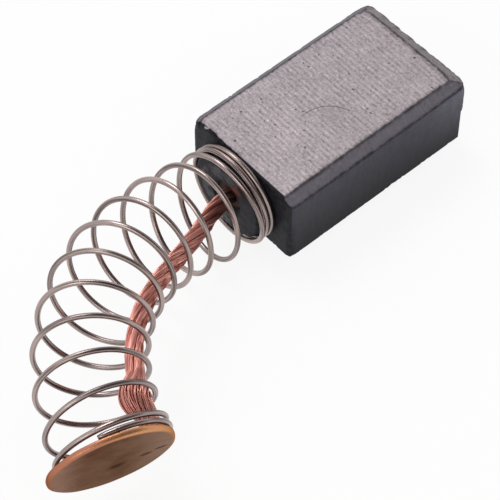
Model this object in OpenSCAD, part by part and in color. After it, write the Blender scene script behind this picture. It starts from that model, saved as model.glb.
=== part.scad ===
// Carbon brush: a carbon block, its spring, its stranded copper lead and its contact cap.
// The brush lies on the wide side of the block, with its spring bent sideways.
// The origin is the middle of the contact face, +X points out of that face and +Z is up.

/* [Carbon block] */
// Length from the back face to the crests of the contact face
block_l = 13; // [9:0.05:20]
// Width of the block
block_w = 8; // [6:0.1:12]
// Thickness of the block
block_t = 5; // [5:0.1:8]
// Chamfer along the two upper long edges
long_chamfer = 0.6; // [0.2:0.05:0.9]
// Small break on the lower long edges and the rear edges
edge_break = 0.12; // [0.05:0.01:0.25]
// Radius of the four upright corners
corner_r = 0.4; // [0.15:0.05:0.6]
// Length of the bevel above the contact face
bevel_l = 0.85; // [0.3:0.05:1]
// Drop of the bevel above the contact face
bevel_drop = 0.55; // [0.2:0.05:0.9]

/* [Contact face] */
// Number of worn notches, counted from the +Y side of the face
notch_count = 5; // [2:1:6]
// Distance between two notches
notch_pitch = 1.03; // [0.8:0.01:1.1]
// Depth of a notch
notch_depth = 0.13; // [0.05:0.01:0.2]

/* [Wear] */
// Depth of the chip in the rear upper edge
chip_depth = 0.12; // [0.05:0.01:0.3]
// Distance of that chip from the middle of the edge
chip_y = 2.4; // [-2.5:0.1:2.5]
// Depth of the nick in the front upright edge
nick_depth = 0.12; // [0.05:0.01:0.2]
// Height of the nick above the lower face
nick_top = 2.35; // [1:0.05:4]

/* [Spring seat and lead socket] */
// Radius of the seat behind the block, which the wide faces cut flat
seat_r = 2.62; // [2:0.01:2.62]
// Length of the seat
seat_l = 1; // [0.6:0.05:1.5]
// Radius of the socket that holds the lead
socket_r = 0.85; // [0.7:0.05:1.2]
// Depth of the socket from the seat's face
socket_depth = 4.5; // [3:0.1:7]
// Radius of the socket's countersunk mouth
mouth_r = 1.15; // [0.9:0.05:1.5]
// Depth of the countersink, which is left empty
mouth_depth = 0.3; // [0.1:0.05:0.5]

/* [Spring] */
// Diameter of the spring wire
wire_d = 0.3; // [0.2:0.01:0.32]
// Mean coil radius round the seat
coil_r_seat = 2.8; // [2.8:0.01:2.9]
// Mean coil radius of the open turns
coil_r_open = 2.89; // [2.85:0.01:3.1]
// Mean coil radius of the last turns, at the cap
coil_r_cap = 2.98; // [2.9:0.01:3.1]
// Closed turns round the seat
seat_turns = 2.3; // [1:0.1:3]
// Open turns
open_turns = 10.05; // [8:0.05:12]
// Closed turns on the cap
cap_turns = 1.2; // [1:0.1:2]
// Pitch of the open turns
open_pitch = 1.9; // [1.2:0.01:2.2]
// Pitch of the closed turns
closed_pitch = 0.33; // [0.33:0.01:0.5]
// Angle of the wire's first end round the coil
wire_start = -90; // [-180:1:180]

/* [Bend] */
// Length of the spring's axis before the bend
bend_start = 4.8; // [3:0.1:7]
// Length of the axis along the bend
bend_l = 14.6; // [10:0.1:15]
// Sideways angle of the bend
bend_angle = 72; // [40:1:90]
// Rise of the axis as it leaves the seat
rise_angle = 14.5; // [0:0.5:25]
// Fall of the axis as it meets the cap
fall_angle = 13.5; // [0:0.5:20]

/* [Lead] */
// Radius of one strand
strand_r = 0.16; // [0.1:0.005:0.16]
// Radius of the ring of outer strands
lay_r = 0.325; // [0.325:0.005:0.4]
// Length in which the strands go once round where they leave the block
lay_l = 6.5; // [5:0.1:12]
// Length over which the twist loosens toward the cap
lay_relax_l = 12; // [6:0.5:30]
// Radius of the ring where the slack strands bulge
bulge_r = 0.64; // [0.45:0.01:0.7]
// Where they bulge most, along the spring's axis
bulge_at = 17.9; // [14:0.1:18]
// Length of the bulge to either side
bulge_l = 1.7; // [1.5:0.1:4]
// Radius of the ring where the strands meet the weld
ring_end_r = 0.42; // [0.35:0.01:0.42]
// Gap between the lead and the coils that it leans on
lean_gap = 0.08; // [0.08:0.01:0.5]
// Length in which the lead crosses from the axis to the inside of the bend
lead_cross_l = 3.9; // [2.5:0.1:5]

/* [Contact cap] */
// Radius of the cap
cap_r = 3.4; // [3.25:0.05:4]
// Thickness of the cap
cap_t = 0.35; // [0.35:0.05:0.8]
// Distance of the cap's middle from the spring's axis, toward the outside of the bend
cap_shift = 0.3; // [0:0.05:0.3]
// Rounding of the cap's outer rim
rim_r = 0.17; // [0.1:0.01:0.17]
// Radius of the weld that holds the lead
weld_r = 0.62; // [0.6:0.01:0.62]
// Height of the weld
weld_h = 0.35; // [0.2:0.05:0.5]

/* [Hidden] */
OUTER_STRANDS = 6;

$fn = 72;
CUT = 1;            // how far a cutter runs past the face that it cuts
ARC_STEPS = 4;      // chords in a rounded corner
CREST_STEPS = 6;    // chords from one crest of the contact face to the next
CHIP_R = 2.5;       // radius of the hollow that the rear chip leaves
NICK_R = 0.8;       // radius of the hollow that the front nick leaves
WIRE_GAP = 0.02;    // clearance between the end turns and what they seat on
BLEND = 0.22;       // half of the turn over which the pitch changes
GROWTH_START = 1.5; // turn at which the coil starts to widen
FLARE_L = 5;        // length before the cap in which it widens once more
LIFT_START = 0.7;   // where the axis starts to rise behind the block
LIFT_L = 2;         // length over which the rise builds up
WIRE_STEPS = 22;    // rings of the wire in one turn
WIRE_SIDES = 8;
STRAND_SIDES = 8;
CORE_SIDES = 6;
STRAND_STEP = 0.45; // length between two rings of a strand
AXIS_STEP = 0.1;    // length between two points of the spring's axis
NUDGE = 0.02;       // small step for a direction along a path

back_x = -block_l;
wire_r = wire_d / 2;
wire_turns = seat_turns + open_turns + cap_turns;
spring_l = (seat_turns + cap_turns) * closed_pitch + open_turns * open_pitch;
axis_l = spring_l + wire_d + 2 * WIRE_GAP;
lead_r = lay_r + strand_r;
tamping_x = back_x - seat_l + mouth_depth;
socket_end_x = back_x - seat_l + socket_depth;
lead_start = back_x - socket_end_x;

// ---- small helpers ----

function unit(v) = v / norm(v);
function limit(t) = max(0, min(1, t));
function ease(t) = let (k = limit(t)) k * k * (3 - 2 * k);

// The points of an arc round c, from angle a0 to angle a1.
function arc(c, r, a0, a1) =
    [for (i = [0:ARC_STEPS]) let (a = a0 + (a1 - a0) * i / ARC_STEPS) c + r * [cos(a), sin(a)]];

// A closed tube through rings that have the same number of points.
module skin(rings) {
    n = len(rings[0]);
    last = (len(rings) - 1) * n;
    sides = [for (i = [0:len(rings) - 2], j = [0:n - 1])
        let (k = (j + 1) % n, a = i * n + j, b = a + n, c = (i + 1) * n + k, d = i * n + k)
            each [[a, b, c], [a, c, d]]];
    ends = [[for (j = [0:n - 1]) j], [for (j = [n - 1:-1:0]) last + j]];
    polyhedron([for (ring = rings, p = ring) p], concat(sides, ends), convexity = 10);
}

// A ring of n points round c, in the plane of the directions a and b.
function ring(c, a, b, r, n, turn = 0) =
    [for (j = [0:n - 1]) let (t = turn + 360 * j / n) c + r * (cos(t) * a + sin(t) * b)];

// ---- the bent axis of the spring, by the length s from the back face ----

function heading(s) = bend_angle * limit((s - bend_start) / bend_l);
function rise(s) =
    (rise_angle - (rise_angle + fall_angle) * pow(limit(s / axis_l), 2)) * ease((s - LIFT_START) / LIFT_L);
function axis_dir(s) =
    [-cos(heading(s)) * cos(rise(s)), -sin(heading(s)) * cos(rise(s)), sin(rise(s))];
function axis_in(s) = [sin(heading(s)), -cos(heading(s)), 0];
function axis_up(s) = cross(axis_dir(s), axis_in(s));

axis_count = ceil(axis_l / AXIS_STEP);
axis_points = [
    for (i = 0, p = [back_x, 0, 0]; i <= axis_count;
         p = p + AXIS_STEP * axis_dir((i + 0.5) * AXIS_STEP), i = i + 1) p];
function axis_at(s) =
    let (k = s / AXIS_STEP, i = max(0, min(axis_count - 1, floor(k))))
    axis_points[i] + (k - i) * (axis_points[i + 1] - axis_points[i]);

// ---- the wire of the spring, by the turn u from its first end ----

function eased_ramp(d) =
    let (t = (d + BLEND) / (2 * BLEND))
    t <= 0 ? 0 : t >= 1 ? d : 2 * BLEND * (pow(t, 3) - pow(t, 4) / 2);
function climb(u) = closed_pitch * u
    + (open_pitch - closed_pitch) * (eased_ramp(u - seat_turns) - eased_ramp(u - seat_turns - open_turns));
function flare(s) = (coil_r_cap - coil_r_open) * ease((s - spring_l) / FLARE_L + 1);
function coil_r(u) =
    coil_r_seat + (coil_r_open - coil_r_seat) * ease(u - GROWTH_START) + flare(climb(u));
function wire_out(u) =
    let (s = climb(u), a = wire_start + 360 * u) cos(a) * axis_in(s) + sin(a) * axis_up(s);
function wire_at(u) = axis_at(wire_r + WIRE_GAP + climb(u)) + coil_r(u) * wire_out(u);

// ---- the lead, by the same length s ----

function ring_r(s) = lay_r
    + (bulge_r - lay_r) * ease((s - bulge_at) / bulge_l + 1)
    + (ring_end_r - bulge_r) * ease((s - bulge_at) / bulge_l);
function lead_in(s) =
    (coil_r_open + flare(s) - wire_r - lean_gap - ring_r(s) - strand_r)
    * (1 - exp(-pow(max(0, s - LIFT_START) / lead_cross_l, 1.8)));
function lead_at(s) = axis_at(s) + lead_in(s) * axis_in(s);
function lay_angle(s) = 360 / lay_l * lay_relax_l * (1 - exp(-s / lay_relax_l));
function strand_rings(ring_share, first_angle, sides) =
    let (lead_end = axis_l - weld_h, count = ceil((lead_end - lead_start) / STRAND_STEP))
    [for (i = [0:count])
        let (s = lead_start + (lead_end - lead_start) * i / count,
             along = i == count ? axis_dir(axis_l) : unit(lead_at(s + NUDGE) - lead_at(s - NUDGE)),
             up = unit(cross(along, axis_in(s))),
             in = cross(up, along),
             a = first_angle + lay_angle(s),
             c = lead_at(s) + ring_share * ring_r(s) * (cos(a) * in + sin(a) * up))
        ring(c, in, up, strand_r, sides)];

// ---- the carbon block ----

// Seen from above: rounded upright corners, and round crests with notches between them.
module plan_outline() {
    half = block_w / 2 - corner_r;
    notches = [for (j = [0:notch_count * CREST_STEPS - 1])
        let (turn = notch_count - j / CREST_STEPS)
        [-notch_depth * (1 - abs(cos(180 * turn))), half - turn * notch_pitch]];
    polygon(concat(
        arc([back_x + corner_r, -half], corner_r, 180, 270),
        arc([-corner_r, -half], corner_r, 270, 360),
        notches,
        arc([-corner_r, half], corner_r, 0, 90),
        arc([back_x + corner_r, half], corner_r, 90, 180)));
}

// Seen from the side: a bevel above the contact face, and dulled edges elsewhere.
module side_outline() {
    top = block_t / 2;
    polygon([
        [back_x + edge_break, -top], [-edge_break, -top], [0, edge_break - top],
        [0, top - bevel_drop], [-bevel_l, top],
        [back_x + edge_break, top], [back_x, top - edge_break], [back_x, edge_break - top]]);
}

// Seen from the end: chamfered above, dulled below.
module end_outline() {
    w = block_w / 2;
    top = block_t / 2;
    polygon([
        [edge_break - w, -top], [w - edge_break, -top], [w, edge_break - top],
        [w, top - long_chamfer], [w - long_chamfer, top],
        [long_chamfer - w, top], [-w, top - long_chamfer], [-w, edge_break - top]]);
}

module pressed_block() {
    intersection() {
        translate([0, 0, -block_t]) linear_extrude(2 * block_t) plan_outline();
        rotate([90, 0, 0]) translate([0, 0, -block_w]) linear_extrude(2 * block_w) side_outline();
        rotate([90, 0, 90]) translate([0, 0, -2 * block_l]) linear_extrude(3 * block_l) end_outline();
    }
}

// The seat, with its rim eased so that the spring slides on.
module spring_seat() {
    ease_l = 0.2;
    flat_h = block_t / 2 - edge_break;
    intersection() {
        translate([back_x, 0, 0]) rotate([0, -90, 0]) {
            translate([0, 0, -CUT]) cylinder(r = seat_r, h = CUT + seat_l - ease_l);
            translate([0, 0, seat_l - ease_l]) cylinder(r1 = seat_r, r2 = seat_r - ease_l, h = ease_l);
        }
        translate([back_x, 0, 0]) cube([2 * (seat_l + CUT), 2 * block_w, 2 * flat_h], center = true);
    }
}

module lead_socket() {
    translate([back_x - seat_l, 0, 0]) rotate([0, 90, 0]) {
        translate([0, 0, -CUT]) cylinder(r = socket_r, h = CUT + socket_depth);
        cylinder(r1 = mouth_r, r2 = socket_r, h = mouth_depth);
        translate([0, 0, -CUT]) cylinder(r = mouth_r, h = CUT);
    }
}

// The chip in the rear upper edge, a shallow shell-shaped hollow.
module rear_chip() {
    reach = (CHIP_R - chip_depth) / sqrt(2);
    translate([back_x - reach, chip_y, block_t / 2 + reach]) sphere(r = CHIP_R);
}

// The nick low on the front upright edge.
module front_nick() {
    edge = [0, -block_w / 2, 0] + corner_r * (1 - sqrt(0.5)) * [-1, 1, 0];
    reach = (NICK_R - nick_depth) / sqrt(2);
    translate(edge + reach * [1, -1, 0]) translate([0, 0, -block_t / 2 - CUT])
        cylinder(r = NICK_R, h = CUT + nick_top);
}

module carbon_block() {
    color("dimgray") difference() {
        union() {
            pressed_block();
            spring_seat();
        }
        lead_socket();
        rear_chip();
        front_nick();
    }
}

// Copper powder rammed round the lead in its socket.
module lead_tamping() {
    color("#4a3a33") translate([tamping_x, 0, 0]) rotate([0, 90, 0]) difference() {
        cylinder(r = socket_r, h = socket_end_x - tamping_x);
        translate([0, 0, -CUT]) cylinder(r = lead_r + WIRE_GAP, h = socket_end_x - tamping_x + 2 * CUT);
    }
}

// ---- the spring, the lead and the cap ----

module spring() {
    count = ceil(wire_turns * WIRE_STEPS);
    color("#a39a96") skin([for (i = [0:count])
        let (u = wire_turns * i / count,
             along = unit(wire_at(u + NUDGE) - wire_at(u - NUDGE)),
             out = unit(wire_out(u) - (wire_out(u) * along) * along))
        ring(wire_at(u), out, cross(along, out), wire_r, WIRE_SIDES, 180 / WIRE_SIDES)]);
}

module lead_core_strand() {
    color("#a8654f") skin(strand_rings(0, 0, CORE_SIDES));
}

module lead_strand(i) {
    color("#b9735b") skin(strand_rings(1, 360 * i / OUTER_STRANDS, STRAND_SIDES));
}

// Puts its children on the cap's inner face, with +Z pointing out of the cap.
module on_cap() {
    translate(axis_at(axis_l)) rotate([0, 90 + fall_angle, 180 + bend_angle]) children();
}

module terminal_cap() {
    inner_r = 0.1;
    color("#b08350") on_cap() translate([0, -cap_shift, 0]) rotate_extrude() polygon(concat(
        [[0, 0]],
        arc([cap_r - inner_r, inner_r], inner_r, -90, 0),
        arc([cap_r - rim_r, cap_t - rim_r], rim_r, 0, 90),
        [[0, cap_t]]));
}

// The flat-topped pool of weld metal that the strands run into.
module lead_weld() {
    foot_h = weld_h / 2;
    color("#9c6148") on_cap() translate([0, lead_in(axis_l), 0]) rotate([180, 0, 0]) rotate_extrude()
        polygon(concat(
            [[0, 0], [weld_r, 0]], arc([weld_r - foot_h, weld_h - foot_h], foot_h, 0, 90), [[0, weld_h]]));
}

carbon_block();
lead_tamping();
spring();
lead_core_strand();
for (i = [1:OUTER_STRANDS])
    lead_strand(i);
terminal_cap();
lead_weld();
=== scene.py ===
"""A carbon brush: a ground carbon block, a bent spring, a twisted copper lead and a contact cap.

The frame is in metres. Lengths in this script are in millimetres until a mesh is made, named
angles are in degrees, and greys and colours are linear. The bent axis of the spring, the wire and
the lead follow the same rules as in the CAD source.
"""
import math

import bpy
import numpy as np
from mathutils import Matrix, Vector, noise
from mathutils.bvhtree import BVHTree


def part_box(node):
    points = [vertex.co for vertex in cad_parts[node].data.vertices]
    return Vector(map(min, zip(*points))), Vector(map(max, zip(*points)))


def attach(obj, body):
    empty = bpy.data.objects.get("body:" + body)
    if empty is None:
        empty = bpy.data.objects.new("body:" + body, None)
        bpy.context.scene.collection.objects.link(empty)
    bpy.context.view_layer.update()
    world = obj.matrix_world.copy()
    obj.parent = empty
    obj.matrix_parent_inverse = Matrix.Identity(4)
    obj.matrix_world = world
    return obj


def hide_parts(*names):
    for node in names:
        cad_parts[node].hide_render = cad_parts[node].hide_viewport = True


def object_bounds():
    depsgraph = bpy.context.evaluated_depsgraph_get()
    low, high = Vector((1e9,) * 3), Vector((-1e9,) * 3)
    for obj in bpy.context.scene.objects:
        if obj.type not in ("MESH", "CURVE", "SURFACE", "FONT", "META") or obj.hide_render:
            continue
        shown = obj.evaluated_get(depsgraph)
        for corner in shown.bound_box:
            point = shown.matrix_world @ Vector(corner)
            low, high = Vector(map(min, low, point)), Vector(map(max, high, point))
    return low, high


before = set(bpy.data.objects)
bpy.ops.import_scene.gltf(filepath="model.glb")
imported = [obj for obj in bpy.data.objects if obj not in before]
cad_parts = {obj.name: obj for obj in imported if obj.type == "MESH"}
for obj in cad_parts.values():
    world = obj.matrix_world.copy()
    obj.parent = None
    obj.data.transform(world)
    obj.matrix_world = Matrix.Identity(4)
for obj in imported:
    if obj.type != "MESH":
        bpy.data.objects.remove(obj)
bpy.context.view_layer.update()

MM = 0.001

# ---- sizes, as in the CAD source ----

BLOCK_W = 8.0
BLOCK_T = 5.0
LONG_CHAMFER = 0.6
BEVEL_L = 0.85
BEVEL_DROP = 0.55
EDGE_BREAK = 0.12
NOTCH_COUNT = 5
NOTCH_PITCH = 1.03
SEAT_L = 1.0
SEAT_R = 2.62
MOUTH_R = 1.15
WIRE_R = 0.15
WIRE_GAP = 0.02
COIL_R_SEAT = 2.8
COIL_R_OPEN = 2.89
COIL_R_CAP = 2.98
SEAT_TURNS = 2.3
OPEN_TURNS = 10.05
CAP_TURNS = 1.2
OPEN_PITCH = 1.9
CLOSED_PITCH = 0.33
WIRE_START = -90.0
BLEND = 0.22
GROWTH_START = 1.5
FLARE_L = 5.0
BEND_START = 4.8
BEND_L = 14.6
BEND_ANGLE = 72.0
RISE_ANGLE = 14.5
FALL_ANGLE = 13.5
LIFT_START = 0.7
LIFT_L = 2.0
STRANDS = 7
STRAND_R = 0.16
LAY_R = 0.325
LAY_L = 6.5
LAY_RELAX_L = 12.0
BULGE_R = 0.64
BULGE_AT = 17.9
BULGE_L = 1.7
RING_END_R = 0.42
LEAN_GAP = 0.08
LEAD_CROSS_L = 3.9
CROSS_POWER = 1.8
WELD_H = 0.35
CAP_T = 0.35
CAP_R = 3.4
CAP_SHIFT = 0.3
CAP_RIM_R = 0.17
CAP_INNER_RIM_R = 0.1

BACK_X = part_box("carbon_block")[0][0] / MM + SEAT_L
SEAT_X = BACK_X - SEAT_L
TURNS = SEAT_TURNS + OPEN_TURNS + CAP_TURNS
SPRING_L = (SEAT_TURNS + CAP_TURNS) * CLOSED_PITCH + OPEN_TURNS * OPEN_PITCH
AXIS_L = SPRING_L + 2 * WIRE_R + 2 * WIRE_GAP
AXIS_STEP = 0.05
LEAD_START = BACK_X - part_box("lead_core_strand")[1][0] / MM
LEAD_END = AXIS_L - WELD_H
LEAD_INSIDE_L = SEAT_L - LEAD_START

# ---- wear of the block: depths, the reaches over which they fade, shares of a rough and a fine noise ----

BLOCK_CELL = 0.072
CHIP_SCALE, SKIN_SCALE = 1.9, 5.0
CHIP_DEPTH, CHIP_REACH = 0.10, 0.16
CHIP_COARSE, CHIP_FINE, CHIP_BIAS = 0.8, 0.6, -0.14
REAR_REACH, REAR_DEEPER, REAR_WIDER, REAR_FINER, REAR_BIAS = 0.5, 1.8, 0.06, 0.7, 0.30
EDGE_WEAR, EDGE_REACH = 0.02, 0.05
CORNER_WEAR, CORNER_WEAR_LEAST, CORNER_REACH = 0.14, 0.02, 0.30
WORN_FRONT_L, WORN_REAR_L, WORN_REAR_Z = 1.5, 1.2, 0.8
SKIN_ROUGH = 0.006
HOLE_L = 4.0

# ---- greys of the block, and how far each face counts as ground ----

GROUND_GREY, GROUND_FADE = 0.368, 0.13      # grows by the fade toward the back
BEVEL_GREY = 0.22
CHAMFER_GREY = 0.15
CONTACT_GREY = 0.08
# Painted shade: the back face and the seat are painted far darker than the pressed sides.
BACK_SHADED_GREY = 0.019
# Painted shade: the mouth of the hole is painted nearly black.
HOLE_SHADE_GREY = 0.012
# Painted shading: the pressed sides grow lighter toward the top and toward the contact face, where more
# light falls.
SIDE_GREY, SIDE_PAINTED_SHADING, SIDE_DARKEST = 0.043, 0.069, 0.014
END_PAINTED_LIGHT, END_REACH = 0.100, 2.6            # the sides are lighter toward the contact face
GROUND, BEVEL_GROUND, CHAMFER_GROUND = 1.0, 0.75, 0.2
# Painted shade: the notch bottoms are darkened. The broken dark lines along the bevel and chamfers are
# partly darker broken carbon and partly painted shade of the chips.
NOTCH_SHADE, NOTCH_REACH, NOTCH_DARK_L = 0.55, 0.13, 0.45
BORDER_Z = 2.2
BEVEL_LINE, BEVEL_LINE_AT, BEVEL_LINE_W = 0.46, 0.06, 0.08
UPPER_LINE, UPPER_LINE_AT, UPPER_LINE_W = 0.44, 0.05, 0.07
LOWER_LINE, LOWER_LINE_Z, LOWER_LINE_Y, LOWER_LINE_W = 0.34, 1.87, 3.8, 0.07
EDGE_DARK_W = 0.075
REAR_EDGE_L, REAR_EDGE_Z, REAR_EDGE_SHARE = 0.5, 2.3, 0.25

# ---- marks on the carbon: how much each changes the grey, and where the scratch runs ----

LINE_PITCH, LINE_WANDER, LINE_GAIN = 0.30, 3.4, 0.15
DASH_GAIN, GRAIN_GAIN, CLOUD_GAIN, PRESSED_GAIN = 0.75, 1.5, 0.45, 0.5
GAIN_OFF_GROUND = 0.25
SIDE_BLOTCHES, BACK_BLOTCHES = 0.5, 2.6
PIT_DARK, SCRATCH_DARK, FRAYED_SHADE, SPECK_GLINT = 0.72, 0.55, 0.7, 0.55
SCRATCH_CENTRE, SCRATCH_R = (-8.3, -1.9, BLOCK_T / 2), 1.9
SCRATCH_FROM, SCRATCH_TO, SCRATCH_LOW = -8.8, -6.2, -1.4

# ---- finer shapes of the spring, the lead and the cap ----

SPRING_STEPS, SPRING_SIDES = 80, 16
WIRE_END_SHARE = 0.8
FINE_WIRES, FINE_SIDES, FINE_STEP = 19, 6, 0.1
FINE_R = STRAND_R / 5
FINE_LAY = 2.6
BULGE_SPREAD, CORE_SPREAD, BULGE_SWELL = 2.6, 2.2, 0.35
LAY_UNEVEN = 0.12
WANDER, WANDER_SLACK = 0.008, 0.020
DRIFT, DRIFT_TURN = 0.08, 1.2
LEAD_SEED = 7
CAP_SIDES, CAP_RINGS, CAP_RIM_STEPS = 128, 22, 7
CAP_MIDDLE_R, CAP_FLAT_GAP = 0.12, 0.08
CAP_DISH, CAP_DISH_R, CAP_FACE_GAP = 0.02, 3.1, 0.001
RIM_UNEVEN, RIM_WAVES, RIM_SLICE = 0.018, 2.2, 4.0
CAP_MARKS = ((0.40, 2.58, 0.26), (0.65, 1.80, 0.28), (0.87, 0.28, 0.40))  # across, along, size

# ---- colours ----

PRESSED_TINT, GROUND_TINT = (0.985, 0.945, 1.19, 1), (1.08, 0.945, 1.0, 1)
# The smear is lighter partly as a painted sheen, and the bright patch is a painted sheen.
SMEAR_AND_SHEEN = (0.110, 0.102, 0.112, 1)
PAINTED_SHEEN_PATCH = (0.42, 0.42, 0.43, 1)
COPPER_STAIN = (0.20, 0.062, 0.042, 1)
# Painted highlight: the bright chip at the rear edge.
CHIP_GLINT = (0.62, 0.56, 0.56, 1)
STEEL_DARK, STEEL_LIGHT = (0.335, 0.270, 0.262, 1), (0.46, 0.365, 0.335, 1)
# Painted reflection: the dark stretches on the spring wire.
STEEL_DARK_REFLECTION, STEEL_LINE = (0.085, 0.062, 0.060, 1), (0.20, 0.165, 0.155, 1)
COPPER_DEEP, COPPER_PALE = (0.66, 0.255, 0.215, 1), (0.97, 0.52, 0.43, 1)
# Painted shade: the darkest copper colour is the shade near the seat.
COPPER_DULL, COPPER_SEAT_SHADE = (0.33, 0.10, 0.082, 1), (0.055, 0.030, 0.028, 1)
CAP_DARK, CAP_LIGHT = (0.185, 0.108, 0.078, 1), (0.27, 0.165, 0.122, 1)
# Painted reflection: the cap's colours toward each side of the bend.
CAP_INSIDE_REFLECTION, CAP_OUTSIDE_REFLECTION = (0.42, 0.29, 0.225, 1), (0.54, 0.345, 0.28, 1)
CAP_STREAK, CAP_SPECK, CAP_STAIN = (0.085, 0.045, 0.034, 1), (0.36, 0.22, 0.15, 1), (0.035, 0.033, 0.028, 1)
# Painted light: the rim's red and orange, brighter toward the inside of the bend.
RIM_DIM_RED, RIM_LIT_ORANGE = (0.46, 0.19, 0.115, 1), (0.70, 0.34, 0.165, 1)
CAP_SHEEN = (0.32, 0.27, 0.24, 1)
POWDER_DARK, POWDER_LIGHT, POWDER_ROUGH = (0.03, 0.018, 0.014, 1), (0.10, 0.05, 0.035, 1), 0.75
WELD_DARK, WELD_LIGHT, WELD_ROUGH = (0.22, 0.10, 0.07, 1), (0.42, 0.22, 0.15, 1), 0.5

# ---- the stage: places in metres where the name does not end in MM ----

CAMERA_MM = (-48.8 + BACK_X, -56.46, 100.53 - BLOCK_T / 2)
CAMERA_RIGHT = (0.7513, -0.6600, -0.0008)
CAMERA_DOWN = (-0.5362, -0.6097, -0.5838)
CAMERA_FORWARD = (0.3848, 0.4390, -0.8119)
CAMERA_LENS, CAMERA_SENSOR, CAMERA_NEAREST = 165.3, 36, 0.005
AMBIENT = 0.6
CEILING_DIM_TOWARD = (0.29, -0.36, 0.886)
CEILING_DIM_EDGE, CEILING_DIM_CORE = 56, 30
CEILING_DIM = (0.10, 0.09, 0.09, 1)
FLOOR_HALF, FLOOR_COLOUR, FLOOR_ROUGH = 1.0, (0.96, 0.96, 0.96, 1), 0.9
SHADOW_SHARE = 0.12
LIT_PLACE = (-0.014, -0.003, 0.001)
KEY_FROM, KEY_SIZE, KEY_POWER = (0.02, 0.16, 0.26), 0.16, 0.33
FILL_FROM, FILL_SIZE, FILL_POWER = (-0.25, -0.05, 0.16), 0.14, 0.10


# ---- the bent axis, by the length s from the back face ----

def ease(t):
    k = np.clip(t, 0, 1)
    return k * k * (3 - 2 * k)


def unit(v):
    return v / np.linalg.norm(v, axis=-1, keepdims=True)


def heading(s):
    return np.radians(BEND_ANGLE) * np.clip((s - BEND_START) / BEND_L, 0, 1)


def rise(s):
    fall = (RISE_ANGLE + FALL_ANGLE) * np.clip(s / AXIS_L, 0, 1) ** 2
    return np.radians(RISE_ANGLE - fall) * ease((s - LIFT_START) / LIFT_L)


def axis_dir(s):
    a, b = heading(s), rise(s)
    return np.stack([-np.cos(a) * np.cos(b), -np.sin(a) * np.cos(b), np.sin(b)], axis=-1)


def axis_in(s):
    """Sideways toward the inside of the bend."""
    a = heading(s)
    return np.stack([np.sin(a), -np.cos(a), np.zeros_like(a)], axis=-1)


def axis_up(s):
    return np.cross(axis_dir(s), axis_in(s))


AXIS_S = np.arange(0, AXIS_L + 1, AXIS_STEP)
AXIS_POINTS = np.vstack([
    [BACK_X, 0, 0],
    [BACK_X, 0, 0] + np.cumsum(AXIS_STEP * axis_dir(AXIS_S[:-1] + AXIS_STEP / 2), axis=0)])


def axis_at(s):
    """A point of the axis. Below 0 it runs straight on into the block."""
    outside = np.stack([np.interp(s, AXIS_S, AXIS_POINTS[:, i]) for i in range(3)], axis=-1)
    return outside + np.minimum(s, 0)[..., None] * np.array([-1.0, 0, 0])


# ---- the wire of the spring, by the turn u from its first end ----

def eased_ramp(d):
    t = np.clip((d + BLEND) / (2 * BLEND), 0, 1)
    return np.where(d >= BLEND, d, 2 * BLEND * (t ** 3 - t ** 4 / 2))


def climb(u):
    opened = eased_ramp(u - SEAT_TURNS) - eased_ramp(u - SEAT_TURNS - OPEN_TURNS)
    return CLOSED_PITCH * u + (OPEN_PITCH - CLOSED_PITCH) * opened


def flare(s):
    return (COIL_R_CAP - COIL_R_OPEN) * ease((s - SPRING_L) / FLARE_L + 1)


def wire_out(u):
    s, a = climb(u), np.radians(WIRE_START) + 2 * np.pi * u
    return np.cos(a)[:, None] * axis_in(s) + np.sin(a)[:, None] * axis_up(s)


def wire_at(u):
    s = climb(u)
    r = COIL_R_SEAT + (COIL_R_OPEN - COIL_R_SEAT) * ease(u - GROWTH_START) + flare(s)
    return axis_at(WIRE_R + WIRE_GAP + s) + r[:, None] * wire_out(u)


# ---- the lead, by the same length s ----

def ring_r(s):
    t = (s - BULGE_AT) / BULGE_L
    return LAY_R + (BULGE_R - LAY_R) * ease(t + 1) + (RING_END_R - BULGE_R) * ease(t)


def lead_at(s):
    room = COIL_R_OPEN + flare(s) - WIRE_R - LEAN_GAP - ring_r(s) - STRAND_R
    crossed = 1 - np.exp(-(np.maximum(0, s - LIFT_START) / LEAD_CROSS_L) ** CROSS_POWER)
    return axis_at(s) + (room * crossed)[:, None] * axis_in(s)


def lay_angle(s):
    return 2 * np.pi / LAY_L * LAY_RELAX_L * (1 - np.exp(-s / LAY_RELAX_L))


# ---- meshes ----

def add_object(name, data):
    made = bpy.data.objects.new(name, data)
    bpy.context.scene.collection.objects.link(made)
    return made


def add_attribute(mesh, name, values):
    """Writes one number, or one row of three, for each point of a mesh."""
    values = np.asarray(values, dtype=np.float32)
    kind, key = ("FLOAT", "value") if values.ndim == 1 else ("FLOAT_VECTOR", "vector")
    mesh.attributes.new(name, kind, "POINT").data.foreach_set(key, values.ravel())


def rings_to_quads(rows, sides):
    """The faces between neighbouring rings of points, each ring closed."""
    i, j = np.meshgrid(np.arange(rows - 1), np.arange(sides), indexing="ij")
    k = (j + 1) % sides
    corners = [i * sides + j, i * sides + k, (i + 1) * sides + k, (i + 1) * sides + j]
    return np.stack(corners, axis=-1).reshape(-1, 4)


def tube_rings(path, out, radius, turn):
    along = unit(np.gradient(path, axis=0))
    out = unit(out - np.sum(out * along, axis=1, keepdims=True) * along)
    side = np.cross(along, out)
    round_it = (np.cos(turn)[None, :, None] * out[:, None, :]
                + np.sin(turn)[None, :, None] * side[:, None, :])
    return path[:, None, :] + np.asarray(radius).reshape(-1, 1, 1) * round_it


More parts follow.
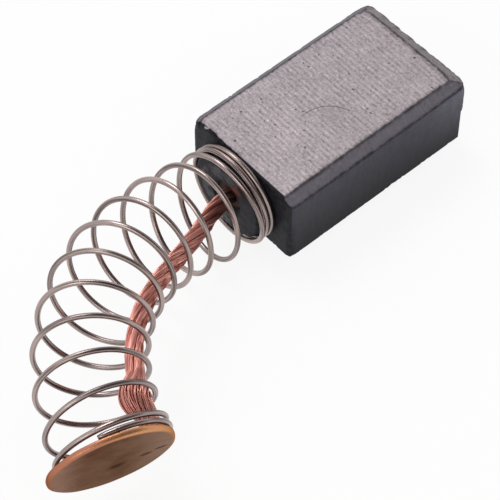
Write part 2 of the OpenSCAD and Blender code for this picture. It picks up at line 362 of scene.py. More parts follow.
def tubes(name, paths, outs, radii, sides, tones):
    """One mesh of round tubes. paths and outs are lists of (n, 3) arrays.

    The attribute wire holds the length along a tube and the direction round it, and tone one
    number for each tube.
    """
    verts, faces, tone, wire = [], [], [], []
    turn = 2 * np.pi * np.arange(sides) / sides
    start = 0
    for path, out, radius, shade in zip(paths, outs, radii, tones):
        n = len(path)
        verts.append(tube_rings(path, out, radius, turn).reshape(-1, 3))
        length = np.concatenate([[0], np.cumsum(np.linalg.norm(np.diff(path, axis=0), axis=1))])
        wire.append(np.stack([
            np.repeat(length, sides), np.tile(np.cos(turn), n), np.tile(np.sin(turn), n)], axis=1))
        tone.append(np.full(n * sides, shade))
        faces += (start + rings_to_quads(n, sides)).tolist()
        faces.append([start + j for j in range(sides - 1, -1, -1)])
        faces.append([start + (n - 1) * sides + j for j in range(sides)])
        start += n * sides
    mesh = bpy.data.meshes.new(name)
    mesh.from_pydata((np.vstack(verts) * MM).tolist(), [], faces)
    add_attribute(mesh, "wire", np.vstack(wire))
    add_attribute(mesh, "tone", np.concatenate(tone))
    mesh.polygons.foreach_set("use_smooth", [len(p.vertices) == 4 for p in mesh.polygons])
    return add_object(name, mesh)


def dress(piece, material, slot, *nodes):
    """Gives a piece its material, lets it ride, and lets it stand for CAD nodes. The slot is not used."""
    piece.data.materials.clear()
    piece.data.materials.append(material)
    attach(piece, "root")
    if nodes:
        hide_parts(*nodes)


# ---- materials ----

class Shader:
    """A short way to write a node material. Each step takes numbers or sockets, gives a socket."""

    def __init__(self, name):
        self.material = bpy.data.materials.new(name)
        self.material.use_nodes = True
        self.tree = self.material.node_tree
        self.surface = self.tree.nodes["Principled BSDF"]

    def put(self, target, value):
        if isinstance(value, bpy.types.NodeSocket):
            self.tree.links.new(value, target)
        else:
            target.default_value = value

    def node(self, kind, inputs=(), out=0, **settings):
        made = self.tree.nodes.new("ShaderNode" + kind)
        for key, value in settings.items():
            setattr(made, key, value)
        for key, value in dict(inputs).items():
            self.put(made.inputs[key], value)
        return made.outputs[out]

    def attribute(self, name, out="Fac"):
        return self.node("Attribute", out=out, attribute_name=name)

    def split(self, vector):
        return [self.node("SeparateXYZ", {0: vector}, out=axis) for axis in "XYZ"]

    def math(self, operation, a, b=0.0, clamp=False):
        return self.node("Math", {0: a, 1: b}, operation=operation, use_clamp=clamp)

    def times(self, value, *others):
        for other in others:
            value = self.math("MULTIPLY", value, other)
        return value

    def plus(self, value, *others):
        for other in others:
            value = self.math("ADD", value, other)
        return value

    def minus(self, a, b):
        return self.math("SUBTRACT", a, b)

    def swing(self, value, gain):
        """Makes a noise from 0 to 1 a change up and down, of half the gain at most."""
        return self.times(self.minus(value, 0.5), gain)

    def dimmed(self, value, where, share):
        """Takes a share off the value where the second input is 1."""
        return self.times(value, self.minus(1.0, self.times(where, share)))

    def stretch(self, vector, scale):
        return self.node("Mapping", {"Vector": vector, "Scale": scale})

    def noise(self, vector, scale=1.0, detail=4.0, rough=0.55):
        return self.node("TexNoise", {
            "Vector": vector, "Scale": scale, "Detail": detail, "Roughness": rough})

    def band(self, value, low, high):
        """0 at low and before, 1 at high and beyond, smooth between them."""
        return self.node("MapRange", {0: value, 1: low, 2: high}, interpolation_type="SMOOTHSTEP")

    def between(self, value, low, high):
        """low where the value is 0, high where it is 1."""
        return self.node("MapRange", {0: value, 3: low, 4: high})

    def mix(self, share, a, b, blend="MIX"):
        made = self.tree.nodes.new("ShaderNodeMix")
        made.data_type, made.blend_type = "RGBA", blend
        for index, value in ((0, share), (6, a), (7, b)):
            self.put(made.inputs[index], value)
        return made.outputs[2]

    def cover(self, colour, other, where, share):
        """Lays a share of another colour over the first."""
        return self.mix(self.times(where, share), colour, other)

    def bump(self, height, depth, strength=1.0):
        return self.node("Bump", {"Height": height, "Distance": depth * MM, "Strength": strength})

    def finish(self, **values):
        for key, value in values.items():
            self.put(self.surface.inputs[key.replace("_", " ")], value)
        return self.material


def millimetres(m):
    return m.stretch(m.node("TexCoord", out="Object"), (1 / MM, 1 / MM, 1 / MM))


def near(m, spot, centre, low, high, stretch=(1, 1, 1)):
    """1 within low of a place, 0 beyond high."""
    shift = m.node("VectorMath", {0: spot, 1: centre}, operation="SUBTRACT")
    scaled = m.node("VectorMath", {0: shift, 1: stretch}, operation="MULTIPLY")
    length = m.node("VectorMath", {0: scaled}, out="Value", operation="LENGTH")
    return m.band(length, high, low)


def cross_lines(m, spot, x):
    """Uneven grinding lines across the block, from -1 to 1, that come and go."""
    wander = m.noise(m.stretch(spot, (1.6, 0.20, 1.0)), detail=3.0)
    phase = m.plus(m.times(x, 2 * math.pi / LINE_PITCH), m.times(wander, LINE_WANDER))
    return m.times(m.math("SINE", phase), m.band(m.noise(spot, scale=0.9, detail=3.0), 0.30, 0.58))


def curved_scratch(m, spot, ground):
    """One thin scratch along part of a circle, on the upper face."""
    x, y, z = m.split(spot)
    arc = m.node("VectorMath", {0: spot, 1: SCRATCH_CENTRE}, out="Value", operation="DISTANCE")
    thin = m.band(m.math("ABSOLUTE", m.minus(arc, SCRATCH_R)), 0.045, 0.012)
    begins = m.band(x, SCRATCH_FROM, SCRATCH_FROM + 0.5)
    ends = m.band(x, SCRATCH_TO, SCRATCH_TO - 0.2)
    one_side = m.band(y, SCRATCH_LOW - 0.1, SCRATCH_LOW)
    return m.times(thin, begins, ends, one_side, ground, m.band(z, 2.0, 2.4))


def carbon_level(m, spot, ground, lines, dashes, grain, blotch):
    """How bright a place of the carbon is against its own grey, 1 on average."""
    pressed = m.noise(m.stretch(spot, (5.0, 5.0, 0.35)), rough=0.6)
    cloud = m.noise(spot, scale=0.55, rough=0.6)
    level = m.plus(1.0, m.times(lines, ground, LINE_GAIN))
    for source, gain in ((dashes, DASH_GAIN), (grain, GRAIN_GAIN), (cloud, CLOUD_GAIN)):
        level = m.plus(level, m.times(m.swing(source, gain), m.plus(ground, GAIN_OFF_GROUND)))
    level = m.plus(level, m.swing(pressed, PRESSED_GAIN))
    on_back = m.band(m.split(spot)[0], BACK_X + 0.12, BACK_X + 0.02)
    blotches = m.plus(SIDE_BLOTCHES, m.times(on_back, BACK_BLOTCHES))
    return m.plus(level, m.swing(blotch, m.times(blotches, m.minus(1.0, ground))))


def seat_marks(m, colour, spot, blotch):
    """On the seat's end: a ring of smeared graphite, lighter partly as a painted sheen, a bright patch of
    painted sheen, and copper off the lead.
    """
    x, y, z = m.split(spot)
    end = m.band(x, SEAT_X + 0.10, SEAT_X + 0.03)
    out = m.math("SQRT", m.plus(m.times(y, y), m.times(z, z)))
    rim = m.plus(out, m.swing(blotch, 0.9))
    ring = m.times(m.band(out, MOUTH_R + 0.10, MOUTH_R + 0.28), m.band(rim, 2.12, 1.98))
    patches = m.band(m.noise(spot, scale=1.9, rough=0.65), 0.36, 0.60)
    smear_and_sheen = m.times(ring, end, patches, m.band(y, -1.5, -0.3))
    colour = m.cover(colour, SMEAR_AND_SHEEN, smear_and_sheen, 0.85)
    # Painted sheen: a bright patch on the seat's end.
    sheen_patch = near(m, spot, (SEAT_X, 0.45, -2.0), 0.10, 0.75, (1, 1, 1.4))
    colour = m.mix(m.times(sheen_patch, end, m.band(blotch, 0.40, 0.62)), colour, PAINTED_SHEEN_PATCH)
    stain = near(m, spot, (SEAT_X, -0.80, 1.3), 0.12, 0.50, (1, 0.8, 1.5))
    patches = m.band(m.noise(spot, scale=4.0, detail=3.0), 0.30, 0.55)
    return m.mix(m.times(stain, end, patches), colour, COPPER_STAIN)


def rear_chip_glint(m, colour, spot):
    """A fresh chip at the end of the rear upper edge, painted bright as a painted highlight."""
    glint = near(m, spot, (BACK_X + 0.06, 3.0, BLOCK_T / 2 - 0.04), 0.07, 0.18, (1, 0.35, 1))
    patches = m.band(m.noise(spot, scale=5.0, detail=3.0), 0.36, 0.48)
    return m.mix(m.times(glint, patches), colour, CHIP_GLINT)


def carbon():
    """Ground wide faces with cross lines and pits, dark pressed sides with painted shading, frayed edges
    darkened partly as painted shade, smears lighter partly as painted sheen, and painted highlights on
    specks and a chip.
    """
    m = Shader("carbon")
    spot = millimetres(m)
    tint, ground, edge = (m.attribute(name) for name in ("tint", "ground", "edge"))
    lines = cross_lines(m, spot, m.split(spot)[0])
    dashes = m.noise(m.stretch(spot, (9.0, 2.2, 2.0)), detail=3.0, rough=0.6)
    grain = m.noise(spot, scale=8.5, detail=5.0, rough=0.75)
    blotch = m.noise(spot, scale=2.6, rough=0.6)
    pit_noise = m.noise(m.stretch(spot, (1.0, 0.62, 1.0)), scale=5.2, detail=1.5, rough=0.4)
    pits = m.times(m.band(pit_noise, 0.312, 0.235), m.plus(ground, 0.1))
    # Graphite flecks, painted lighter as a painted highlight of their glint.
    speck_noise = m.noise(m.stretch(spot, (1.2, 0.7, 1.0)), scale=7.0, detail=1.0, rough=0.4)
    glint_specks = m.times(m.band(speck_noise, 0.70, 0.80), ground)
    scratch = curved_scratch(m, spot, ground)
    # Edges darkened partly as frayed carbon and partly as painted shade of the chips.
    frayed_and_shaded = m.times(edge, m.band(m.noise(spot, scale=3.2, rough=0.65), 0.30, 0.56))

    level = carbon_level(m, spot, ground, lines, dashes, grain, blotch)
    level = m.dimmed(level, pits, PIT_DARK)
    level = m.dimmed(level, scratch, SCRATCH_DARK)
    level = m.dimmed(level, frayed_and_shaded, FRAYED_SHADE)
    value = m.times(tint, m.plus(level, m.times(glint_specks, SPECK_GLINT)))
    tone = m.mix(m.math("MULTIPLY", ground, 2.5, clamp=True), PRESSED_TINT, GROUND_TINT)
    grey = m.node("CombineXYZ", {0: value, 1: value, 2: value})
    colour = m.mix(1.0, grey, tone, "MULTIPLY")
    colour = rear_chip_glint(m, seat_marks(m, colour, spot, blotch), spot)

    raised = m.times(m.plus(dashes, lines), m.times(ground, 0.35))
    sunk = m.plus(m.times(pits, 0.8), m.times(scratch, 0.6))
    height = m.minus(m.plus(raised, m.times(grain, 0.5)), sunk)
    return m.finish(Base_Color=colour, Roughness=m.between(grain, 0.44, 0.62),
                    Specular_IOR_Level=0.1, Normal=m.bump(height, 0.03, 0.8))


def spring_steel():
    """Drawn wire with fine lines along it, a thin warm film, and darker stretches that are a painted
    reflection of a dark room overhead.
    """
    m = Shader("spring_steel")
    wire = m.attribute("wire", "Vector")
    lines = m.noise(m.stretch(wire, (0.5, 4.0, 4.0)), rough=0.6)
    film = m.noise(m.stretch(wire, (0.45, 0.5, 0.5)), detail=3.0, rough=0.5)
    # Painted reflection: dark stretches along the wire.
    dark_reflection = m.noise(m.stretch(wire, (0.22, 1.3, 1.3)), detail=3.0)
    colour = m.mix(m.band(film, 0.35, 0.65), STEEL_DARK, STEEL_LIGHT)
    colour = m.cover(colour, STEEL_DARK_REFLECTION, m.band(dark_reflection, 0.48, 0.62), 0.72)
    colour = m.cover(colour, STEEL_LINE, m.band(lines, 0.45, 0.70), 0.3)
    return m.finish(Base_Color=colour, Metallic=0.95, Roughness=m.between(lines, 0.17, 0.34),
                    Normal=m.bump(lines, 0.008, 0.6))


def copper_wire():
    """Bare copper wires, each a tone of its own, duller in patches, and painted dark near the seat as
    painted shade under the coils.
    """
    m = Shader("copper_wire")
    wire = m.attribute("wire", "Vector")
    patch = m.noise(m.stretch(wire, (0.8, 0.5, 0.5)), detail=3.0)
    colour = m.mix(m.attribute("tone"), COPPER_DEEP, COPPER_PALE)
    colour = m.cover(colour, COPPER_DULL, m.band(patch, 0.42, 0.72), 0.5)
    # Painted shade: the wires darken near the seat, under the coils.
    seat_shade = m.band(m.split(wire)[0], LEAD_INSIDE_L + 1.5, LEAD_INSIDE_L + 0.3)
    colour = m.cover(colour, COPPER_SEAT_SHADE, seat_shade, 0.75)
    return m.finish(Base_Color=colour, Metallic=0.9, Roughness=m.between(patch, 0.20, 0.40))


def cap_metal():
    """Tarnished copper alloy: brown faces lighter toward the sides as painted reflection, dark marks, and a
    rubbed rim painted orange partly as bare metal and partly as painted light.
    """
    m = Shader("cap_metal")
    face = m.attribute("face", "Vector")
    _, along, out = m.split(face)
    cloud = m.noise(m.stretch(face, (0.5, 0.5, 0.0)), rough=0.6)
    fine = m.noise(millimetres(m), scale=7.0, detail=5.0, rough=0.65)
    drawn = m.noise(m.stretch(face, (5.0, 0.6, 0.0)), rough=0.6)
    colour = m.mix(m.band(cloud, 0.32, 0.66), CAP_DARK, CAP_LIGHT)
    # Painted reflection: the face grows lighter toward both sides of the disc.
    colour = m.mix(m.band(along, 0.3, 3.4), colour, CAP_INSIDE_REFLECTION)
    colour = m.cover(colour, CAP_OUTSIDE_REFLECTION, m.band(along, -1.2, -3.0), 0.6)
    colour = m.cover(colour, CAP_STREAK, m.band(drawn, 0.50, 0.75), 0.35)
    colour = m.cover(colour, CAP_SPECK, m.band(fine, 0.55, 0.80), 0.25)
    for mark_across, mark_along, size in CAP_MARKS:
        mark = near(m, face, (mark_across, mark_along, 0), 0.35 * size, size, (1.1, 0.6, 0))
        colour = m.cover(colour, CAP_STAIN, m.times(mark, m.band(drawn, 0.38, 0.50)), 0.65)
    # The rubbed rim, partly bare metal and partly painted light that is brighter toward the inside of the
    # bend.
    rim = m.band(m.plus(out, m.swing(cloud, 0.25)), CAP_R - 0.24, CAP_R - 0.07)
    bare_and_lit = m.mix(m.band(along, -1.5, 1.5), RIM_DIM_RED, RIM_LIT_ORANGE)
    return m.finish(Base_Color=m.mix(rim, colour, bare_and_lit), Metallic=0.95, Specular_Tint=CAP_SHEEN,
                    Roughness=m.between(fine, 0.32, 0.50),
                    Normal=m.bump(m.plus(fine, drawn), 0.01, 0.5))


def dull_copper(name, dark, light, rough):
    m = Shader(name)
    grain = m.noise(millimetres(m), scale=9.0, detail=5.0, rough=0.7)
    return m.finish(Base_Color=m.mix(m.band(grain, 0.35, 0.65), dark, light), Metallic=0.6,
                    Roughness=rough, Normal=m.bump(grain, 0.04))


# ---- the block ----

def fine_copy(node, cell):
    """A dense, even copy of a CAD node in millimetres, its points put back on the CAD surface.

    Returns the piece, its points, and the flat normal of the CAD face that each point lies on.
    """
    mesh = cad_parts[node].data.copy()
    mesh.transform(Matrix.Scale(1 / MM, 4))
    tree = BVHTree.FromPolygons([v.co[:] for v in mesh.vertices], [p.vertices[:] for p in mesh.polygons])
    piece = add_object(node + "_worn", mesh)
    fine = piece.modifiers.new("fine", "REMESH")
    fine.mode, fine.voxel_size, fine.adaptivity = "VOXEL", cell, 0
    graph = bpy.context.evaluated_depsgraph_get()
    piece.data = bpy.data.meshes.new_from_object(piece.evaluated_get(graph))
    piece.modifiers.clear()
    found = [tree.find_nearest(v.co)[:2] for v in piece.data.vertices]
    points = np.array([place[:] for place, _ in found])
    return piece, points, np.array([facing[:] for _, facing in found])


def fade(distance, reach):
    """1 at no distance, falling smoothly to nothing past the reach."""
    return np.exp(-(distance / reach) ** 2)


def ragged(points, scale, octaves=4):
    """Noise from about -1 to 1 at each point."""
    return np.array([noise.fractal(Vector(p), 0.9, 2.1, octaves) for p in points * scale])


def nearest_three(distances):
    return np.sort(np.abs(np.array(distances)), axis=0)[:3]


def block_depths(points):
    """How far each point lies below its three nearest faces of the block, nearest first."""
    x, y, z = points.T
    top, side = BLOCK_T / 2, BLOCK_W / 2
    slope = math.hypot(BEVEL_DROP, BEVEL_L)
    return nearest_three([
        top - z, top + z, side - np.abs(y), -x, x - BACK_X,
        (side + top - LONG_CHAMFER - np.abs(y) - z) / math.sqrt(2),
        (BEVEL_L * (top - BEVEL_DROP - z) - BEVEL_DROP * x) / slope])


def seat_depths(points):
    x, y, z = points.T
    return nearest_three([
        x - SEAT_X, SEAT_R - np.hypot(y, z), BLOCK_T / 2 - EDGE_BREAK - np.abs(z)])


def block_wear(points, depths, rough, finer):
    """How deep each point of the block is worn away."""
    x, y, z = points.T
    edge_gap, corner_gap = depths[1], depths[2]
    rear = fade(x - BACK_X, REAR_REACH) * (z > 2.0) * (y > 0)
    chips = CHIP_COARSE * rough + (CHIP_FINE + REAR_FINER * rear) * finer
    chips = np.clip(chips + CHIP_BIAS + REAR_BIAS * rear, 0, 1)
    sink = CHIP_DEPTH * (1 + REAR_DEEPER * rear) * chips
    sink *= fade(edge_gap, CHIP_REACH + REAR_WIDER * rear)
    sink += EDGE_WEAR * fade(edge_gap, EDGE_REACH)
    worn = (x > -WORN_FRONT_L) & (z > 0)
    worn |= (x < BACK_X + WORN_REAR_L) & (z > WORN_REAR_Z) & (y > 0)
    sink += np.where(worn, CORNER_WEAR, CORNER_WEAR_LEAST) * fade(corner_gap, CORNER_REACH)
    return sink + SKIN_ROUGH * np.clip(0.5 + 0.5 * finer, 0, 1)


def painted_border_shade(points, bevel, behind, rough):
    """The light left by painted shade in the notches and by the broken dark lines along the bevel and
    chamfers, which are partly darker broken carbon and partly painted shade of the chipped edges.
    """
    x, y, z = points.T
    turn = (BLOCK_W / 2 - y) / NOTCH_PITCH - 0.5
    off = np.abs(turn - np.clip(np.round(turn), 0, NOTCH_COUNT - 1)) * NOTCH_PITCH
    light = 1 - NOTCH_SHADE * bevel * fade(off, NOTCH_REACH) * fade(x, NOTCH_DARK_L)
    side = np.abs(y)
    high = (z > BORDER_Z) & ~behind
    broken = np.clip(0.75 + 1.1 * rough, 0.15, 1)
    beside_bevel = fade(x + BEVEL_L - BEVEL_LINE_AT, BEVEL_LINE_W)
    beside_top = fade(side - BLOCK_W / 2 + LONG_CHAMFER - UPPER_LINE_AT, UPPER_LINE_W)
    below_chamfer = (side > LOWER_LINE_Y) * ~behind * fade(z - LOWER_LINE_Z, LOWER_LINE_W)
    light *= 1 - BEVEL_LINE * broken * high * beside_bevel
    light *= 1 - UPPER_LINE * broken * high * beside_top
    return light * (1 - LOWER_LINE * broken * below_chamfer)


def carbon_tints(points, facing, rough):
    """The grey of each part of the block, with painted shading on the pressed sides and painted shade on
    the back and seat, and how far a point belongs to a ground face.
    """
    x, _, z = points.T
    wide = np.abs(facing[:, 2]) > 0.99
    bevel = (facing[:, 2] > 0.5) & (facing[:, 0] > 0.2)
    chamfer = (facing[:, 2] > 0.5) & (np.abs(facing[:, 1]) > 0.5)
    contact = (facing[:, 0] > 0.5) & ~bevel
    # Painted shade: the back face and the seat take a much darker grey than the pressed sides.
    behind = (x < BACK_X + 0.02) | ((x < BACK_X + 0.2) & (facing[:, 0] < -0.3))
    height = z / BLOCK_T
    # Painted shading: the side grey rises toward the top and toward the contact face.
    pressed = SIDE_GREY + SIDE_PAINTED_SHADING * height + END_PAINTED_LIGHT * (0.5 + height) * fade(x, END_REACH)
    top_grey = GROUND_GREY * (1 + GROUND_FADE * x / BACK_X)
    grey = np.select([behind, wide, bevel, chamfer, contact],
                     [BACK_SHADED_GREY, top_grey, BEVEL_GREY, CHAMFER_GREY, CONTACT_GREY],
                     np.maximum(pressed, SIDE_DARKEST))
    ground = np.select([behind, wide, bevel, chamfer], [0.0, GROUND, BEVEL_GROUND, CHAMFER_GROUND], 0.0)
    return grey * painted_border_shade(points, bevel, behind, rough), ground


def make_carbon():
    """The block with chipped edges, worn corners and a ragged rim round its seat."""
    piece, points, facing = fine_copy("carbon_block", BLOCK_CELL)
    x, y, z = points.T
    depths = np.where(x < BACK_X - 0.05, seat_depths(points), block_depths(points))
    rough, finer = ragged(points, CHIP_SCALE), ragged(points, SKIN_SCALE, 3)
    hole = (np.hypot(y, z) < MOUTH_R + 0.05) & (x < BACK_X + HOLE_L) & (x > SEAT_X - 0.05)
    sink = np.where(hole, 0, block_wear(points, depths, rough, finer))
    mesh = piece.data
    mesh.vertices.foreach_set("co", points.ravel())
    mesh.update()
    outward = np.empty(len(mesh.vertices) * 3)
    mesh.vertices.foreach_get("normal", outward)
    points = points - sink[:, None] * outward.reshape(-1, 3)
    mesh.vertices.foreach_set("co", (points * MM).ravel())
    grey, ground = carbon_tints(points, facing, rough)
    # Painted shade inside the hole's mouth.
    grey[hole] = HOLE_SHADE_GREY
    # Darker along every edge: partly frayed carbon, partly painted shade of the chips.
    edge = fade(depths[1], EDGE_DARK_W)
    edge[(points[:, 0] < BACK_X + REAR_EDGE_L) & (points[:, 2] > REAR_EDGE_Z)] *= REAR_EDGE_SHARE
    for name, values in (("tint", grey), ("ground", ground), ("edge", edge)):
        add_attribute(mesh, name, values)
    mesh.polygons.foreach_set("use_smooth", [True] * len(mesh.polygons))
    mesh.update()
    dress(piece, carbon(), "carbon", "carbon_block")


# ---- the spring and the lead ----

def make_spring():
    u = np.linspace(0, TURNS, int(TURNS * SPRING_STEPS))
    radius = np.full(len(u), WIRE_R)
    radius[[0, -1]] = WIRE_R * WIRE_END_SHARE
    piece = tubes("spring_wire", [wire_at(u)], [wire_out(u)], [radius], SPRING_SIDES, [0.5])
    dress(piece, spring_steel(), "spring_steel", "spring")


def strand_paths(number, rng):
    """The fine wires of one strand: one in the middle, six round it and twelve round those.

    Where the lead bulges, the wires of a strand spread sideways, swell and close the gaps.
    """
    s = np.arange(LEAD_START, LEAD_END + 0.6 * FINE_STEP, FINE_STEP)
    s[-1] = LEAD_END
    centre = lead_at(s)
    along = unit(np.gradient(centre, axis=0))
    up = unit(np.cross(along, axis_in(s)))
    inward = np.cross(up, along)
    a = lay_angle(s) + number * np.pi / 3
    out = np.cos(a)[:, None] * inward + np.sin(a)[:, None] * up
    aside = np.cos(a)[:, None] * up - np.sin(a)[:, None] * inward
    strand = centre + (ring_r(s) if number else 0 * s)[:, None] * out
    slack = np.clip((ring_r(s) - LAY_R) / (BULGE_R - LAY_R), 0, 1)
    spread = 1 + slack * ((BULGE_SPREAD if number else CORE_SPREAD) - 1)
    paths, outs, radii, tones = [], [], [], []
    for wire in range(FINE_WIRES):
        ring = 0 if wire == 0 else 1 if wire < 7 else 2
        b = (FINE_LAY - 1) * lay_angle(s) + wire * np.pi / (3 * max(ring, 1))
        b = b + rng.uniform(-LAY_UNEVEN, LAY_UNEVEN)
        wave = np.sin(s * rng.uniform(1.2, 2.4) + rng.uniform(0, 2 * np.pi))
        reach = 2 * FINE_R * ring + (WANDER + WANDER_SLACK * slack) * wave
        drift = slack * rng.uniform(-DRIFT, DRIFT) * np.sin(DRIFT_TURN * s + rng.uniform(0, 2 * np.pi))
        off = np.cos(b)[:, None] * out + (spread * np.sin(b))[:, None] * aside
        paths.append(strand + reach[:, None] * off + drift[:, None] * aside)
        outs.append(out)
        radii.append(FINE_R * (1 + BULGE_SWELL * slack))
        tones.append(rng.uniform(0, 1))
    return paths, outs, radii, tones


def make_lead():
    rng = np.random.default_rng(LEAD_SEED)
    material = copper_wire()
    for number in range(STRANDS):
        node = "lead_core_strand" if number == 0 else "lead_strand_%d" % number
        paths, outs, radii, tones = strand_paths(number, rng)
        piece = tubes(node + "_wires", paths, outs, radii, FINE_SIDES, tones)
        dress(piece, material, "copper_strand", node)


# ---- the cap ----

def cap_profile():
    """The cap's section as (radius, height), from the inner face round the rim to the outer one."""
    quarter = np.linspace(0, np.pi / 2, CAP_RIM_STEPS)
    inner = [(CAP_R - CAP_INNER_RIM_R + CAP_INNER_RIM_R * math.sin(t),
              CAP_INNER_RIM_R - CAP_INNER_RIM_R * math.cos(t)) for t in quarter]
    outer = [(CAP_R - CAP_RIM_R + CAP_RIM_R * math.cos(t),
              CAP_T - CAP_RIM_R + CAP_RIM_R * math.sin(t)) for t in quarter]
    flat = list(np.linspace(CAP_MIDDLE_R, CAP_R - CAP_RIM_R - CAP_FLAT_GAP, CAP_RINGS))
    return np.array([(r, 0.0) for r in flat] + inner + outer + [(r, CAP_T) for r in reversed(flat)])


def cap_radii(profile, turn):
    """The radius of each point, with a slightly uneven rim."""
    circle = [(RIM_WAVES * math.cos(t), RIM_WAVES * math.sin(t), RIM_SLICE) for t in turn]
    dip = np.array([noise.noise(Vector(place)) for place in circle])
    return profile[:, :1] * (1 - RIM_UNEVEN * np.clip(0.5 + dip, 0, 1))[None, :]


def make_cap():
    """The contact cap, turned as one disc, with a slightly uneven rim and a faint dish."""
    end = np.array([AXIS_L])
    out, inward = axis_dir(end)[0], axis_in(end)[0]
    across = np.cross(inward, out)
    centre = axis_at(end)[0] - CAP_SHIFT * inward
    profile = cap_profile()
    turn = 2 * np.pi * np.arange(CAP_SIDES) / CAP_SIDES
    radius = cap_radii(profile, turn)
    u, v = radius * np.cos(turn), radius * np.sin(turn)
    bowl = -CAP_DISH * np.cos(np.pi / 2 * np.clip(radius / CAP_DISH_R, 0, 1))
    height = profile[:, 1:] + np.where(profile[:, 1:] > CAP_T - CAP_FACE_GAP, bowl, 0)
    points = centre + u[..., None] * across + v[..., None] * inward + height[..., None] * out
    rows, n = len(profile), CAP_SIDES
    ends = [list(range(n - 1, -1, -1)), [(rows - 1) * n + t for t in range(n)]]
    mesh = bpy.data.meshes.new("cap_disc")
    mesh.from_pydata((points.reshape(-1, 3) * MM).tolist(), [], rings_to_quads(rows, n).tolist() + ends)
    place = np.stack([u, v, np.broadcast_to(profile[:, :1], u.shape)], axis=-1)
    add_attribute(mesh, "face", place.reshape(-1, 3))
    mesh.polygons.foreach_set("use_smooth", [True] * len(mesh.polygons))
    dress(add_object("cap_disc", mesh), cap_metal(), "cap_metal", "terminal_cap")


def paint_node(name, material):
    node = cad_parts[name]
    node.data.materials.clear()
    node.data.materials.append(material)


# ---- the stage ----

def make_camera():
    data = bpy.data.cameras.new("camera")
    data.lens, data.sensor_width, data.clip_start = CAMERA_LENS, CAMERA_SENSOR, CAMERA_NEAREST
    camera = add_object("camera", data)
    axes = Matrix((Vector(CAMERA_RIGHT), -Vector(CAMERA_DOWN), -Vector(CAMERA_FORWARD)))
    camera.matrix_world = Matrix.Translation(Vector(CAMERA_MM) * MM) @ axes.transposed().to_4x4()
    bpy.context.scene.camera = camera


def new_node(tree, kind, **settings):
    made = tree.nodes.new("ShaderNode" + kind)
    for key, value in settings.items():
        setattr(made, key, value)
    return made


def seen_directly(tree):
    """1 for rays from the camera, from glossy surfaces and through clear ones."""
    path = new_node(tree, "LightPath")
    total = path.outputs["Is Camera Ray"]
    for name in ("Is Glossy Ray", "Is Transmission Ray"):
        larger = new_node(tree, "Math", operation="MAXIMUM")
        tree.links.new(total, larger.inputs[0])
        tree.links.new(path.outputs[name], larger.inputs[1])
        total = larger.outputs[0]
    return total


def dim_ceiling(tree):
    """White all round, and dim toward one part of the ceiling, for rays from glossy surfaces."""
    ray = new_node(tree, "TexCoord")
    dot = new_node(tree, "VectorMath", operation="DOT_PRODUCT")
    dot.inputs[1].default_value = CEILING_DIM_TOWARD
    shade = new_node(tree, "MapRange", interpolation_type="SMOOTHSTEP")
    shade.inputs[1].default_value = math.cos(math.radians(CEILING_DIM_EDGE))
    shade.inputs[2].default_value = math.cos(math.radians(CEILING_DIM_CORE))
    path = new_node(tree, "LightPath")
    both = new_node(tree, "Math", operation="MULTIPLY")
    colour = new_node(tree, "Mix", data_type="RGBA")
    colour.inputs[6].default_value = (1, 1, 1, 1)
    colour.inputs[7].default_value = CEILING_DIM
    tree.links.new(ray.outputs["Generated"], dot.inputs[0])
    tree.links.new(dot.outputs["Value"], shade.inputs[0])
    tree.links.new(shade.outputs[0], both.inputs[0])
    tree.links.new(path.outputs["Is Glossy Ray"], both.inputs[1])
    tree.links.new(both.outputs[0], colour.inputs[0])
    return colour.outputs[2]


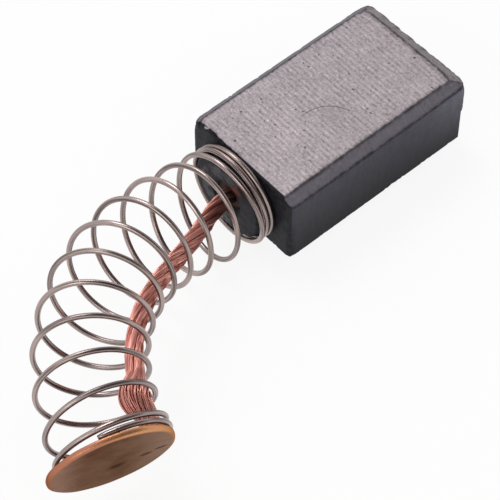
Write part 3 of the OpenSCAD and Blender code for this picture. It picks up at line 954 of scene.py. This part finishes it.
def make_world():
    world = bpy.data.worlds.new("studio")
    bpy.context.scene.world = world
    world.use_nodes = True
    tree = world.node_tree
    base = tree.nodes["Background"]
    base.inputs["Color"].default_value = (AMBIENT, AMBIENT, AMBIENT, 1)
    white = new_node(tree, "Background")
    tree.links.new(dim_ceiling(tree), white.inputs["Color"])
    both = new_node(tree, "MixShader")
    tree.links.new(seen_directly(tree), both.inputs[0])
    tree.links.new(base.outputs[0], both.inputs[1])
    tree.links.new(white.outputs[0], both.inputs[2])
    tree.links.new(both.outputs[0], tree.nodes["World Output"].inputs[0])


def floor_material():
    """Pale and plain. Seen directly it is nearly white, and keeps a share of the shadow."""
    m = Shader("floor")
    m.finish(Base_Color=FLOOR_COLOUR, Roughness=FLOOR_ROUGH, Specular_IOR_Level=0.0)
    tree = m.tree
    glow = new_node(tree, "Emission")
    both = new_node(tree, "MixShader")
    seen = new_node(tree, "Math", operation="MULTIPLY")
    seen.inputs[1].default_value = 1 - SHADOW_SHARE
    tree.links.new(seen_directly(tree), seen.inputs[0])
    tree.links.new(seen.outputs[0], both.inputs[0])
    tree.links.new(m.surface.outputs[0], both.inputs[1])
    tree.links.new(glow.outputs[0], both.inputs[2])
    tree.links.new(both.outputs[0], tree.nodes["Material Output"].inputs[0])
    return m.material


def make_floor():
    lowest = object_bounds()[0][2]
    corners = [(x * FLOOR_HALF, y * FLOOR_HALF, lowest) for x, y in ((-1, -1), (1, -1), (1, 1), (-1, 1))]
    mesh = bpy.data.meshes.new("floor")
    mesh.from_pydata(corners, [], [(0, 1, 2, 3)])
    mesh.materials.append(floor_material())
    floor = add_object("floor", mesh)


def add_light(name, offset, size, power):
    """A round lamp that looks at the brush from an offset."""
    data = bpy.data.lights.new(name, "AREA")
    data.shape, data.size, data.energy = "DISK", size, power
    light = add_object(name, data)
    light.location = Vector(LIT_PLACE) + Vector(offset)
    light.rotation_mode = "QUATERNION"
    light.rotation_quaternion = (-Vector(offset)).to_track_quat("-Z", "Y")


make_camera()
make_carbon()
make_spring()
make_lead()
make_cap()
paint_node("lead_tamping", dull_copper("tamped_powder", POWDER_DARK, POWDER_LIGHT, POWDER_ROUGH))
paint_node("lead_weld", dull_copper("weld_metal", WELD_DARK, WELD_LIGHT, WELD_ROUGH))
make_world()
make_floor()
add_light("key", KEY_FROM, KEY_SIZE, KEY_POWER)
add_light("fill", FILL_FROM, FILL_SIZE, FILL_POWER)
bpy.context.scene.view_settings.view_transform = "Standard"
